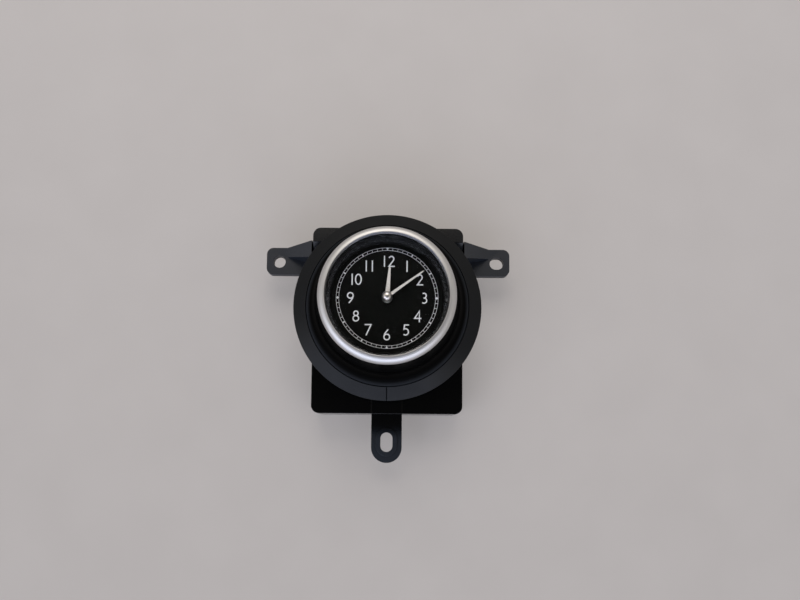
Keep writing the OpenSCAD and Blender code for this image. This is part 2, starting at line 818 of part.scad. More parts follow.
module minute_wheel() {
    facing = motion_angle + 180;
    color("#d8d4c4") translate(stud_at) difference() {
        union() {
            gear(minute_teeth, motion_module, facing + 180 / minute_teeth,
                z_minute_wheel, z_minute_wheel + wheel_t);
            gear(minute_pinion_teeth, motion_module, facing, z_minute_wheel, z_hour_wheel + wheel_t + shake);
        }
        hole(stud_r + pivot_clear, z_minute_wheel, z_hour_wheel + wheel_t);
    }
}

module middle_wheel() {
    pinion_low = z_centre_wheel - pinion_reach;
    pinion_high = z_centre_wheel + wheel_t + pinion_reach;
    color("#d8d4c4") translate(middle_at) difference() {
        union() {
            gear(middle_teeth, train_module, rotor_angle, z_middle_wheel, z_middle_wheel + wheel_t);
            gear(step_teeth, train_module, middle_angle + 180 + 180 / step_teeth, pinion_low, pinion_high);
            disc(small_hub_r, z_back_top + end_play, z_seat - end_play);
        }
        hole(pivot_r + fit / 2, z_back_top, z_seat);
    }
}

module middle_arbor() {
    color("#c4c6c8") translate(middle_at) disc(pivot_r, z_back + shake, z_plate_top - shake);
}

module rotor_magnet() {
    color("#3a3b3d") translate(rotor_at) ring(magnet_r, pivot_r + fit / 2, z_magnet, z_magnet_top);
}

module rotor_shaft() {
    color("#c4c6c8") translate(rotor_at) disc(pivot_r, z_can + shake, z_middle_wheel + wheel_t + end_play);
}

module rotor_pinion() {
    facing = rotor_angle + 180;
    color("#c9b37a") translate(rotor_at) difference() {
        gear(step_teeth, train_module, facing + 180 / step_teeth,
            z_back_top + end_play, z_middle_wheel + wheel_t + shake);
        hole(pivot_r + fit / 2, z_back_top, z_middle_wheel + wheel_t);
    }
}

// Half of the ring of claws round the rotor: every second one, between two heights
module claw_ring(turn, low, high) {
    claw_w = 2 * claw_r * sin(180 / claws) * claw_share;
    intersection() {
        ring(claw_r, claw_r - claw_t, low, high);
        for (i = [0 : claws - 1]) rotate(turn + i * 360 / claws)
            translate([0, -claw_w / 2, low - cut]) cube([2 * claw_r, claw_w, high - low + 2 * cut]);
    }
}

module stator_can() {
    color("#9a9da0") translate(rotor_at) {
        difference() {
            disc(can_r, z_can, z_back - can_wall);
            disc(can_r - can_wall, z_can + can_wall, z_back);
            hole(pivot_r + pivot_clear, z_can, z_back);
            for (p = motor_pins_at) translate(p - rotor_at) hole(3 * motor_pin_r, z_can, z_can + can_wall);
        }
        claw_ring(0, z_can + can_wall / 2, z_magnet_top);
    }
}

module upper_poles() {
    color("#9a9da0") translate(rotor_at) {
        ring(can_r, claw_r - claw_t, z_back - can_wall, z_back);
        claw_ring(180 / claws, z_magnet, z_back - can_wall / 2);
    }
}

module coil_bobbin() {
    color("#26282a") translate(rotor_at) {
        ring(spool_r, bobbin_r, z_spool, z_spool_top);
        ring(spool_flange_r, bobbin_r, z_spool, z_spool + spool_flange_t);
        ring(spool_flange_r, bobbin_r, z_spool_top - spool_flange_t, z_spool_top);
    }
}

module coil_winding() {
    color("#b06a34") translate(rotor_at)
        ring(spool_flange_r - winding_in, spool_r + fit,
            z_spool + spool_flange_t + fit, z_spool_top - spool_flange_t - fit);
}

module motor_pins() {
    color("#cdb56a") for (p = motor_pins_at) translate(p) disc(motor_pin_r, z_board - pin_tail, z_spool);
}

module supply_pins() {
    color("#cdb56a") for (a = supply_angles) polar(supply_ring_r, a)
        disc(supply_pin_r, z_board - pin_tail, z_plate_top + led_board_t + pin_head);
}

module main_board() {
    color("#1d5a3a") difference() {
        translate([0, -housing_shift, z_board])
            linear_extrude(board_t) square([board_w, board_l], center = true);
        for (p = posts) translate([p[0], p[1], 0]) hole(screw_r + loose_fit, z_board, z_board_top);
        for (p = motor_pins_at) translate(p) hole(motor_pin_r + fit, z_board, z_board_top);
        for (a = supply_angles) polar(supply_ring_r, a) hole(supply_pin_r + fit, z_board, z_board_top);
        for (p = pins_at) translate(p) hole(pin_hole * pin_w, z_board, z_board_top);
    }
}

module microcontroller() {
    color("#1b1c1e") translate([chip_at[0] - chip_w / 2, chip_at[1] - chip_w / 2, z_board_top])
        cube([chip_w, chip_w, chip_h]);
}

module quartz_crystal() {
    color("#c8cacc") translate([crystal_at[0], crystal_at[1], z_board_top])
        linear_extrude(crystal_h) stadium_y(crystal_w / 2, (crystal_l - crystal_w) / 2);
}

module capacitors() {
    color("#2b3350") for (p = capacitors_at) translate(p)
        disc(capacitor_r, z_board_top, z_board_top + capacitor_h);
}

module regulator() {
    color("#1b1c1e") translate([regulator_at[0], regulator_at[1], z_board_top + regulator_size[2] / 2])
        cube(regulator_size, center = true);
}

module connector_shell() {
    inner_w = plug_w - 2 * plug_wall;
    inner_l = plug_l - 2 * plug_wall;
    color("#2d3033") difference() {
        translate([-plug_w / 2, -plug_y - plug_l / 2, plug_set_back])
            cube([plug_w, plug_l, z_board - plug_set_back]);
        translate([-inner_w / 2, -plug_y - inner_l / 2, plug_set_back - cut])
            cube([inner_w, inner_l, z_board - plug_floor - plug_set_back + cut]);
        for (p = pins_at) translate([p[0], p[1], z_board - plug_floor / 2])
            cube([pin_w + fit, pin_w + fit, 2 * plug_floor], center = true);
    }
}

module connector_pins() {
    color("#d3b04e") for (p = pins_at) translate([p[0] - pin_w / 2, p[1] - pin_w / 2, pin_stand])
        cube([pin_w, pin_w, z_board_top + pin_head - pin_stand]);
}

main_housing();
rear_cover();
cover_screws();
barrel();
barrel_screws();
trim_ring();
bezel();
lens();
lens_gasket();
reflector_ring();
dial();
light_guide();
spacer_ring();
backlight_board();
backlight_leds();
front_plate();
back_plate();
pillars();
plate_screws();
minute_wheel_stud();
centre_arbor();
centre_wheel();
cannon_pinion();
minute_hand();
hand_cap();
hour_wheel();
hour_hand();
minute_wheel();
middle_wheel();
middle_arbor();
rotor_magnet();
rotor_shaft();
rotor_pinion();
stator_can();
upper_poles();
coil_bobbin();
coil_winding();
motor_pins();
supply_pins();
main_board();
microcontroller();
quartz_crystal();
capacitors();
regulator();
connector_shell();
connector_pins();
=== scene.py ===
# %% [markdown]
# # A dashboard clock
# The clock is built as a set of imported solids: a flat box with three fixing lugs, a flanged barrel, a
# chrome bezel and the movement inside. This lesson gives those solids their edges, print, finishes and
# light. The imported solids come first, because everything that follows is placed by them.

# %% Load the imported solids
import json
import math

import bmesh
import bpy
from mathutils import Matrix, Vector
from mathutils.geometry import delaunay_2d_cdt


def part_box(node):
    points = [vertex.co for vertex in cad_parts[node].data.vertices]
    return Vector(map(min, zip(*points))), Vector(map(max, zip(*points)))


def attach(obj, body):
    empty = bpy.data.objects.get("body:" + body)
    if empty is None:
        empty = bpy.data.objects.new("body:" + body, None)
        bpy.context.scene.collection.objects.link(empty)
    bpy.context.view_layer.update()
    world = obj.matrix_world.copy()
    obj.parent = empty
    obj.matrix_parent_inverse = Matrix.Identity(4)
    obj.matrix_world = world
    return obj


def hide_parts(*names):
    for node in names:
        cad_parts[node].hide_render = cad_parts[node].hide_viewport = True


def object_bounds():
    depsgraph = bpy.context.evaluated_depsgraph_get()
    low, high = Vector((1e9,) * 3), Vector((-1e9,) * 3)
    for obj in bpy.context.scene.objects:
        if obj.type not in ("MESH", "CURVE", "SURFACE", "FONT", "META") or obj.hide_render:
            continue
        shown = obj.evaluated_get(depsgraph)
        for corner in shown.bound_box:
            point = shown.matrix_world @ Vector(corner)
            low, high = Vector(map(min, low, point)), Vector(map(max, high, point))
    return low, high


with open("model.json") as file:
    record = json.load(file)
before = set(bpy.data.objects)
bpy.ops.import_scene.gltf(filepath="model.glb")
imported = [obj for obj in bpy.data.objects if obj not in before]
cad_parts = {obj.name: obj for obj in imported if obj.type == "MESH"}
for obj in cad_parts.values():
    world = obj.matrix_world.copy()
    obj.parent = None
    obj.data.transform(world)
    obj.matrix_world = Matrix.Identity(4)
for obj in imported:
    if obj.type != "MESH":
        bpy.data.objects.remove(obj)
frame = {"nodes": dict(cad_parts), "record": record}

MM = 0.001
solids = frame["nodes"]
cad_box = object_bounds()
print("solids:", len(solids), "box:", [[round(v / MM, 1) for v in corner] for corner in cad_box])

# %% [markdown]
# ## The camera
# The photograph was taken from almost straight above, with a phone held a little towards six o'clock. The
# clock lies left of the middle of the frame and a little above it. A camera that leans by four degrees,
# with a small shift of its frame, gives the same view. The shift keeps the circles nearly as round as in
# the photograph. The eye's place comes from fitting the ears, the tab, the flange and the box to the
# photograph.

# %% Camera
PHOTO_W = 800
PHOTO_H = 600
FOCAL_PX = 601
SENSOR_W = 36
LEAN = math.radians(4.0)
ROLL = math.radians(0.53)
AXIS_PX = (391.6, 393.1)
EYE = Vector((1.97, -50.25, 259.71)) * MM
NEAREST = 10 * MM

forward = Vector((0, math.sin(LEAN), -math.cos(LEAN)))
right = Vector((1, 0, 0))
up = right.cross(forward)
camera_data = bpy.data.cameras.new("camera")
camera_data.sensor_width = SENSOR_W
camera_data.lens = FOCAL_PX * SENSOR_W / PHOTO_W
camera_data.shift_x = (PHOTO_W / 2 - AXIS_PX[0]) / PHOTO_W
camera_data.shift_y = (AXIS_PX[1] - PHOTO_H / 2) / PHOTO_W
camera_data.clip_start = NEAREST
camera = bpy.data.objects.new("camera", camera_data)
aim = Matrix((right, up, -forward)).transposed().to_4x4()
camera.matrix_world = Matrix.Translation(EYE) @ aim @ Matrix.Rotation(ROLL, 4, "Z")
bpy.context.scene.collection.objects.link(camera)
bpy.context.scene.camera = camera
bpy.context.scene.view_settings.view_transform = "Standard"
print("camera at", [round(v / MM, 1) for v in EYE], "mm, lens", round(camera_data.lens, 2), "mm")

# %% [markdown]
# ## Helpers for finishes
# Colours are written as sRGB hex values, the way a colour picker shows them, and shaders work in linear
# light. One function does that change. A second one adds a shader node: it takes the node's inputs, each
# a plain value or the output of another node, and any other settings. A third gives a new material its
# first nodes. Pattern sizes are thought of in millimetres, and a texture's scale is the number of repeats
# in a metre.

# %% Colour, node and material helpers
def linear(hex_code):
    """Linear RGBA of an sRGB colour such as #202326."""
    parts = [int(hex_code[i:i + 2], 16) / 255 for i in (1, 3, 5)]
    return [p / 12.92 if p <= 0.04045 else ((p + 0.055) / 1.055) ** 2.4 for p in parts] + [1.0]


def add(tree, kind, inputs=None, **settings):
    """Add a node with its settings; each input is a value or another node's output."""
    made = tree.nodes.new(kind)
    for name, value in settings.items():
        setattr(made, name, value)
    for name, value in (inputs or {}).items():
        if isinstance(value, bpy.types.NodeSocket):
            tree.links.new(value, made.inputs[name])
        else:
            made.inputs[name].default_value = value
    return made


def new_material(name):
    """An empty material, its node tree and the coordinates of the piece, in metres."""
    made = bpy.data.materials.new(name)
    made.use_nodes = True
    made.node_tree.nodes.clear()
    coords = add(made.node_tree, "ShaderNodeTexCoord").outputs["Object"]
    return made, made.node_tree, coords


def per_metre(size_mm):
    """Texture scale of a pattern whose features are this large."""
    return 1 / (size_mm * MM)


def from_axis(tree, coords):
    """Distance from the dial axis, for finishes that change from ring to ring."""
    flat = add(tree, "ShaderNodeVectorMath", {0: coords, 1: (1, 1, 0)}, operation="MULTIPLY")
    length = add(tree, "ShaderNodeVectorMath", {0: flat.outputs["Vector"]}, operation="LENGTH")
    return length.outputs["Value"]


# %% [markdown]
# ## Moulded plastics
# Nearly everything black on the clock is injection moulded. The steel tool was spark eroded, which leaves
# a fine even grain, and handling adds faint clouds of polish and dust. A noise of about the grain's size
# makes the bump, and a much larger noise shifts the tone and the gloss a little. The real grain is about
# 0.1 mm, which is finer than a pixel here, so it is drawn a few times coarser.

# %% Moulded plastics
ABS_IOR = 1.54
GRAIN_MM = 0.35
GRAIN_DEPTH_MM = 0.012
GRAIN_DETAIL = 2.0
GRAIN_STRENGTH = 0.6
CLOUD_MM = 9.0
CLOUD_DETAIL = 4.0
CLOUD_GLOSS = 0.05
NOISE_LOW, NOISE_HIGH = 0.3, 0.7


def moulded(name, dark, pale, roughness, grain_mm=GRAIN_MM, grain_depth_mm=GRAIN_DEPTH_MM,
            cloud_mm=CLOUD_MM, ior=ABS_IOR, shine=0.5):
    """Moulded plastic with a tool grain and faint handling clouds."""
    made, tree, coords = new_material(name)
    cloud = add(tree, "ShaderNodeTexNoise", {
        "Vector": coords, "Scale": per_metre(cloud_mm), "Detail": CLOUD_DETAIL})
    grain = add(tree, "ShaderNodeTexNoise", {
        "Vector": coords, "Scale": per_metre(grain_mm), "Detail": GRAIN_DETAIL})
    tone = add(tree, "ShaderNodeMixRGB", {
        "Fac": cloud.outputs["Fac"], "Color1": linear(dark), "Color2": linear(pale)})
    gloss = add(tree, "ShaderNodeMapRange", {
        "Value": cloud.outputs["Fac"], "From Min": NOISE_LOW, "From Max": NOISE_HIGH,
        "To Min": roughness - CLOUD_GLOSS, "To Max": roughness + CLOUD_GLOSS})
    bump = add(tree, "ShaderNodeBump", {
        "Height": grain.outputs["Fac"], "Strength": GRAIN_STRENGTH, "Distance": grain_depth_mm * MM})
    shader = add(tree, "ShaderNodeBsdfPrincipled", {
        "Base Color": tone.outputs["Color"], "Roughness": gloss.outputs["Result"], "IOR": ior,
        "Specular IOR Level": shine, "Normal": bump.outputs["Normal"]})
    add(tree, "ShaderNodeOutputMaterial", {"Surface": shader.outputs["BSDF"]})
    return made


materials = {
    "cover_abs": moulded("grained ABS of the rear cover", "#101215", "#17191d", 0.48),
    "trim_tpe": moulded("soft TPE of the trim ring", "#0a0c0e", "#0f1114", 0.33, 0.3, 0.015, shine=0.15),
    "gasket_rubber": moulded("nitrile rubber", "#101010", "#161616", 0.7),
    "white_pom": moulded("natural POM of the gears", "#d9d6cc", "#e4e1d8", 0.4, cloud_mm=4.0, ior=1.48),
    "black_epoxy": moulded("moulded epoxy", "#141517", "#1c1d1f", 0.45, grain_mm=0.2),
    "guide_acrylic": moulded("frosted acrylic", "#cfd8dc", "#dde5e8", 0.35, ior=1.49),
    "led_white": moulded("lamp resin", "#efe9cf", "#f6f2e0", 0.3, cloud_mm=1.0, ior=1.5),
    "capacitor_sleeve": moulded("shrunk PVC sleeve", "#1d2440", "#28304f", 0.3, cloud_mm=3.0),
    "connector_pbt": moulded("glass-filled PBT", "#1c1e20", "#26282b", 0.5, grain_mm=0.5),
    "board_laminate": moulded("solder resist on laminate", "#0f4a2c", "#17603a", 0.35, cloud_mm=2.5,
                              ior=1.5),
    "magnet_ferrite": moulded("ground ferrite", "#35363a", "#44464a", 0.6, grain_mm=0.15),
}
print("moulded finishes:", len(materials))

# %% [markdown]
# ## The housing
# The box and its lugs are one ABS moulding, but not one finish. The box with its shoulder is smooth and
# mirrors the dark above it, and its black is also painted shade, for the shadow under the flange. The
# ears are grained and look blue-grey. The tab is black and glossy near the box, and grey and grained at
# its end. The shoulder keeps three quarters of the box's black and gloss, so the faces below it are
# darker: painted shade under the flange. One material does all of it: a mask that is worked out from the
# place on the piece picks the finish and the painted shade.

# %% Housing material
box_low, box_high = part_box("rear_cover")
EDGE_ROOM = 0.05 * MM
TAB_SMOOTH = 4 * MM
TAB_GRAIN = 11 * MM
front_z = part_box("barrel")[0].z
SHOULDER_FROM = 1 * MM
SHOULDER_TO = 2 * MM
SHOULDER_POLISH_AND_SHADE = 0.75
BOX_CLOUD_MM = 8
GRAINED_ROUGHNESS, SMOOTH_ROUGHNESS = 0.44, 0.16
GRAINED_BUMP, SMOOTH_BUMP = 0.7, 0.1
BOX_GRAIN_DEPTH = 0.015 * MM


def housing_abs():
    """Grained ABS on the ears and the end of the tab, glossy black ABS with painted shade on the box."""
    made, tree, coords = new_material("two-finish ABS of the housing with painted shade")
    place = add(tree, "ShaderNodeSeparateXYZ", {"Vector": coords})
    width = add(tree, "ShaderNodeMath", {0: place.outputs["X"]}, operation="ABSOLUTE")
    in_x = add(tree, "ShaderNodeMath", {
        0: width.outputs[0], 1: box_high.x + EDGE_ROOM}, operation="LESS_THAN")
    in_y = add(tree, "ShaderNodeMapRange", {
        "Value": place.outputs["Y"], "From Min": box_low.y - TAB_GRAIN,
        "From Max": box_low.y - TAB_SMOOTH}, interpolation_type="SMOOTHSTEP")
    # Faces above the shoulder's start keep less of the box's black: the lower faces get painted shade.
    in_z = add(tree, "ShaderNodeMapRange", {
        "Value": place.outputs["Z"], "From Min": front_z + SHOULDER_FROM,
        "From Max": front_z + SHOULDER_TO, "To Min": 1.0, "To Max": SHOULDER_POLISH_AND_SHADE})
    on_box = add(tree, "ShaderNodeMath", {
        0: in_x.outputs[0], 1: in_y.outputs["Result"]}, operation="MULTIPLY")
    smooth_and_shaded = add(tree, "ShaderNodeMath", {
        0: on_box.outputs[0], 1: in_z.outputs["Result"]}, operation="MULTIPLY")
    cloud = add(tree, "ShaderNodeTexNoise", {
        "Vector": coords, "Scale": per_metre(BOX_CLOUD_MM), "Detail": CLOUD_DETAIL})
    grain = add(tree, "ShaderNodeTexNoise", {
        "Vector": coords, "Scale": per_metre(GRAIN_MM), "Detail": GRAIN_DETAIL})
    grey = add(tree, "ShaderNodeMixRGB", {
        "Fac": cloud.outputs["Fac"], "Color1": linear("#0f141c"), "Color2": linear("#141b26")})
    # The box's black is partly painted shade, for the shadow under the flange; the ears' grey is their own
    # tone.
    black = add(tree, "ShaderNodeMixRGB", {
        "Fac": cloud.outputs["Fac"], "Color1": linear("#030303"), "Color2": linear("#060606")})
    tone = add(tree, "ShaderNodeMixRGB", {
        "Fac": smooth_and_shaded.outputs[0], "Color1": grey.outputs["Color"], "Color2": black.outputs["Color"]})
    gloss = add(tree, "ShaderNodeMapRange", {
        "Value": smooth_and_shaded.outputs[0], "To Min": GRAINED_ROUGHNESS, "To Max": SMOOTH_ROUGHNESS})
    depth = add(tree, "ShaderNodeMapRange", {
        "Value": smooth_and_shaded.outputs[0], "To Min": GRAINED_BUMP, "To Max": SMOOTH_BUMP})
    bump = add(tree, "ShaderNodeBump", {
        "Height": grain.outputs["Fac"], "Strength": depth.outputs["Result"], "Distance": BOX_GRAIN_DEPTH})
    shader = add(tree, "ShaderNodeBsdfPrincipled", {
        "Base Color": tone.outputs["Color"], "Roughness": gloss.outputs["Result"], "IOR": ABS_IOR,
        "Normal": bump.outputs["Normal"]})
    add(tree, "ShaderNodeOutputMaterial", {"Surface": shader.outputs["BSDF"]})
    return made


materials["housing_abs"] = housing_abs()
print("smooth box up to", round(box_high.x / MM, 1), "mm from the middle, shoulder from",
      round(front_z / MM, 1), "mm")

# %% [markdown]
# ## The barrel
# The barrel is one ABS moulding too. Its wall is smooth and a very deep black. The foot, where the wall
# flares out to the trim ring, has a grain like the ring's, and its grey is a painted sheen of the window
# that the glossy flare mirrors. The mask is the distance from the dial axis.

# %% Barrel material
ring_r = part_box("trim_ring")[1].x
FOOT_FROM = ring_r - 7.2 * MM
FOOT_TO = ring_r - 5.5 * MM
WALL_ROUGHNESS, FOOT_ROUGHNESS = 0.22, 0.45
WALL_BUMP, FOOT_BUMP = 0.1, 0.6
BARREL_SHINE = 0.015


def barrel_abs():
    """Smooth black ABS on the wall, grained ABS with a painted sheen on the foot."""
    made, tree, coords = new_material("two-finish ABS of the barrel")
    foot = add(tree, "ShaderNodeMapRange", {
        "Value": from_axis(tree, coords), "From Min": FOOT_FROM, "From Max": FOOT_TO},
        interpolation_type="SMOOTHSTEP").outputs["Result"]
    cloud = add(tree, "ShaderNodeTexNoise", {
        "Vector": coords, "Scale": per_metre(CLOUD_MM), "Detail": CLOUD_DETAIL})
    grain = add(tree, "ShaderNodeTexNoise", {
        "Vector": coords, "Scale": per_metre(GRAIN_MM), "Detail": GRAIN_DETAIL})
    black = add(tree, "ShaderNodeMixRGB", {
        "Fac": cloud.outputs["Fac"], "Color1": linear("#020202"), "Color2": linear("#040404")})
    # The foot's grey is a painted sheen, where the glossy flare mirrors the window.
    grey = add(tree, "ShaderNodeMixRGB", {
        "Fac": cloud.outputs["Fac"], "Color1": linear("#212326"), "Color2": linear("#26282b")})
    tone = add(tree, "ShaderNodeMixRGB", {
        "Fac": foot, "Color1": black.outputs["Color"], "Color2": grey.outputs["Color"]})
    gloss = add(tree, "ShaderNodeMapRange", {
        "Value": foot, "To Min": WALL_ROUGHNESS, "To Max": FOOT_ROUGHNESS})
    depth = add(tree, "ShaderNodeMapRange", {"Value": foot, "To Min": WALL_BUMP, "To Max": FOOT_BUMP})
    bump = add(tree, "ShaderNodeBump", {
        "Height": grain.outputs["Fac"], "Strength": depth.outputs["Result"],
        "Distance": GRAIN_DEPTH_MM * MM})
    shader = add(tree, "ShaderNodeBsdfPrincipled", {
        "Base Color": tone.outputs["Color"], "Roughness": gloss.outputs["Result"], "IOR": ABS_IOR,
        "Specular IOR Level": BARREL_SHINE, "Normal": bump.outputs["Normal"]})
    add(tree, "ShaderNodeOutputMaterial", {"Surface": shader.outputs["BSDF"]})
    return made


materials["barrel_abs"] = barrel_abs()
print("barrel foot from", round(FOOT_FROM / MM, 1), "to", round(FOOT_TO / MM, 1), "mm")

# %% [markdown]
# ## Metals
# The metal pieces are plated, turned or stamped. A metal's colour is in its reflection, so the base
# colour is the plating's own and the metallic value is 1. Turning and brushing leave fine rings about the
# dial axis: a noise that is read by the distance from the axis plus the height draws them, as bump and as
# a small change of gloss.

# %% Metals
LINE_DETAIL = 2.0
LINE_STRENGTH = 0.5
LINE_GLOSS = 0.05


def plated(name, colour, roughness, line_mm=0.12, line_depth_mm=0.002):
    """Metal with fine turned rings about the dial axis."""
    made, tree, coords = new_material(name)
    height = add(tree, "ShaderNodeSeparateXYZ", {"Vector": coords}).outputs["Z"]
    along = add(tree, "ShaderNodeMath", {0: from_axis(tree, coords), 1: height}, operation="ADD")
    lines = add(tree, "ShaderNodeTexNoise", {
        "W": along.outputs[0], "Scale": per_metre(line_mm), "Detail": LINE_DETAIL}, noise_dimensions="1D")
    gloss = add(tree, "ShaderNodeMapRange", {
        "Value": lines.outputs["Fac"], "From Min": NOISE_LOW, "From Max": NOISE_HIGH,
        "To Min": roughness - LINE_GLOSS, "To Max": roughness + LINE_GLOSS})
    bump = add(tree, "ShaderNodeBump", {
        "Height": lines.outputs["Fac"], "Strength": LINE_STRENGTH, "Distance": line_depth_mm * MM})
    shader = add(tree, "ShaderNodeBsdfPrincipled", {
        "Base Color": linear(colour), "Metallic": 1.0, "Roughness": gloss.outputs["Result"],
        "Normal": bump.outputs["Normal"]})
    add(tree, "ShaderNodeOutputMaterial", {"Surface": shader.outputs["BSDF"]})
    return made


materials.update({
    "plate_brass": plated("stamped brass", "#c8a868", 0.3),
    "steel": plated("turned steel", "#b5b6b8", 0.25),
    "screw_steel": plated("zinc-plated steel", "#a9acb0", 0.32, line_mm=0.2),
    "can_steel": plated("nickel-plated steel", "#9ea1a3", 0.25),
    "coil_copper": plated("enamelled copper wire", "#b0693a", 0.3, line_mm=0.25, line_depth_mm=0.05),
    "pin_brass": plated("tinned brass", "#cbb070", 0.3),
})
print("finishes so far:", len(materials))

# %% [markdown]
# ## Metal films
# The reflector ring and the ball cap are plastic with a metal film, put on in a vacuum chamber over a
# lacquer. Such a film has no tool marks. What shows is the lacquer's slight unevenness, as clouds in the
# gloss and tone.

# %% Metal films
FILM_DETAIL = 2.0
FILM_GLOSS = 0.04


def metallised(name, dark, pale, roughness, cloud_mm):
    """Metal film on lacquered plastic, with clouds in its gloss and tone."""
    made, tree, coords = new_material(name)
    cloud = add(tree, "ShaderNodeTexNoise", {
        "Vector": coords, "Scale": per_metre(cloud_mm), "Detail": FILM_DETAIL})
    tone = add(tree, "ShaderNodeMixRGB", {
        "Fac": cloud.outputs["Fac"], "Color1": linear(dark), "Color2": linear(pale)})
    gloss = add(tree, "ShaderNodeMapRange", {
        "Value": cloud.outputs["Fac"], "To Min": roughness - FILM_GLOSS, "To Max": roughness + FILM_GLOSS})
    shader = add(tree, "ShaderNodeBsdfPrincipled", {
        "Base Color": tone.outputs["Color"], "Metallic": 1.0, "Roughness": gloss.outputs["Result"]})
    add(tree, "ShaderNodeOutputMaterial", {"Surface": shader.outputs["BSDF"]})
    return made


materials.update({
    "reflector_chrome": metallised("dark metal film of the reflector", "#6a6b6e", "#737477", 0.2, 8.0),
    "cap_chrome": metallised("satin metal film of the cap", "#d8d1ca", "#e0d9d2", 0.3, 3.0),
})
print("finishes so far:", len(materials))

# %% [markdown]
# ## The bezel
# The bezel is die-cast zinc with a satin chrome plate. Its outer round was bead blasted before plating,
# so it is an even soft grey. The narrow slope inside the crest is polished, and its dark metal colour is
# a painted dark reflection, like the reflector's tone. The finish follows the radius: a map range turns
# the distance from the dial axis into a mask.

# %% Bezel material
CREST_R = 22.3 * MM
BLAST_R = 22.6 * MM
POLISHED_ROUGHNESS, BLASTED_ROUGHNESS = 0.12, 0.46
BLAST_MM = 0.25
BLAST_DETAIL = 2.0
BLAST_STRENGTH = 0.4
BLAST_DEPTH = 0.006 * MM
SATIN_CLOUD_MM = 5
SATIN_DETAIL = 3.0


def bezel_chrome():
    """Satin chrome outside the crest; polished, with a painted dark reflection, on the slope inside it."""
    made, tree, coords = new_material("satin chrome of the bezel")
    blasted = add(tree, "ShaderNodeMapRange", {
        "Value": from_axis(tree, coords), "From Min": CREST_R, "From Max": BLAST_R},
        interpolation_type="SMOOTHSTEP")
    gloss = add(tree, "ShaderNodeMapRange", {
        "Value": blasted.outputs["Result"], "To Min": POLISHED_ROUGHNESS, "To Max": BLASTED_ROUGHNESS})
    blast = add(tree, "ShaderNodeTexNoise", {
        "Vector": coords, "Scale": per_metre(BLAST_MM), "Detail": BLAST_DETAIL})
    bump = add(tree, "ShaderNodeBump", {
        "Height": blast.outputs["Fac"], "Strength": BLAST_STRENGTH, "Distance": BLAST_DEPTH})
    cloud = add(tree, "ShaderNodeTexNoise", {
        "Vector": coords, "Scale": per_metre(SATIN_CLOUD_MM), "Detail": SATIN_DETAIL})
    satin = add(tree, "ShaderNodeMixRGB", {
        "Fac": cloud.outputs["Fac"], "Color1": linear("#c4c3c2"), "Color2": linear("#cbcac9")})
    # The dark tone of the slope inside the crest is a painted dark reflection.
    tone = add(tree, "ShaderNodeMixRGB", {
        "Fac": blasted.outputs["Result"], "Color1": linear("#6c6c6f"), "Color2": satin.outputs["Color"]})
    shader = add(tree, "ShaderNodeBsdfPrincipled", {
        "Base Color": tone.outputs["Color"], "Metallic": 1.0, "Roughness": gloss.outputs["Result"],
        "Normal": bump.outputs["Normal"]})
    add(tree, "ShaderNodeOutputMaterial", {"Surface": shader.outputs["BSDF"]})
    return made


materials["bezel_chrome"] = bezel_chrome()
print("bezel satin outside", round(BLAST_R / MM, 1), "mm")

# %% [markdown]
# ## The lens
# The lens is a flat disc of clear acrylic, with an IOR of 1.49. Glass that bends every ray also shadows
# what lies under it, so lamps would leave the dial dark. Letting shadow rays pass straight through is the
# usual remedy: the eye still sees the reflections of a polished sheet, and the dial gets its light.

# %% Lens material
ACRYLIC_IOR = 1.49
WIPE_MM = 6
WIPE_DETAIL = 3.0
WIPE_SWIRL = 1.5
WIPE_FROM, WIPE_TO = 0.4, 0.8
WIPE_ROUGHNESS = 0.04


def lens_glass():
    """Clear acrylic with faint wipe marks in its gloss."""
    made, tree, coords = new_material("clear acrylic of the lens")
    wipe = add(tree, "ShaderNodeTexNoise", {
        "Vector": coords, "Scale": per_metre(WIPE_MM), "Detail": WIPE_DETAIL, "Distortion": WIPE_SWIRL})
    gloss = add(tree, "ShaderNodeMapRange", {
        "Value": wipe.outputs["Fac"], "From Min": WIPE_FROM, "From Max": WIPE_TO,
        "To Min": 0.0, "To Max": WIPE_ROUGHNESS})
    acrylic = add(tree, "ShaderNodeBsdfPrincipled", {
        "Base Color": linear("#fbfcfc"), "Roughness": gloss.outputs["Result"], "IOR": ACRYLIC_IOR,
        "Transmission Weight": 1.0})
    clear = add(tree, "ShaderNodeBsdfTransparent", {"Color": linear("#f4f6f6")})
    path = add(tree, "ShaderNodeLightPath")
    both = add(tree, "ShaderNodeMixShader", {
        0: path.outputs["Is Shadow Ray"], 1: acrylic.outputs["BSDF"], 2: clear.outputs["BSDF"]})
    add(tree, "ShaderNodeOutputMaterial", {"Surface": both.outputs["Shader"]})
    return made


materials["lens_glass"] = lens_glass()
print("lens of IOR", ACRYLIC_IOR, "with wipe marks of", WIPE_MM, "mm")

# %% [markdown]
# ## Paint and ink
# The dial is lacquered black, with a very slight orange peel. The hands are brass with a satin silver
# lacquer, and the figures are screen printed in white ink. All three are paint films: a plain colour with
# a little unevenness, and the gloss of a dry film.

# %% Paint and ink materials
PAINT_IOR = 1.5
PEEL_DETAIL = 2.0
PEEL_STRENGTH = 0.5


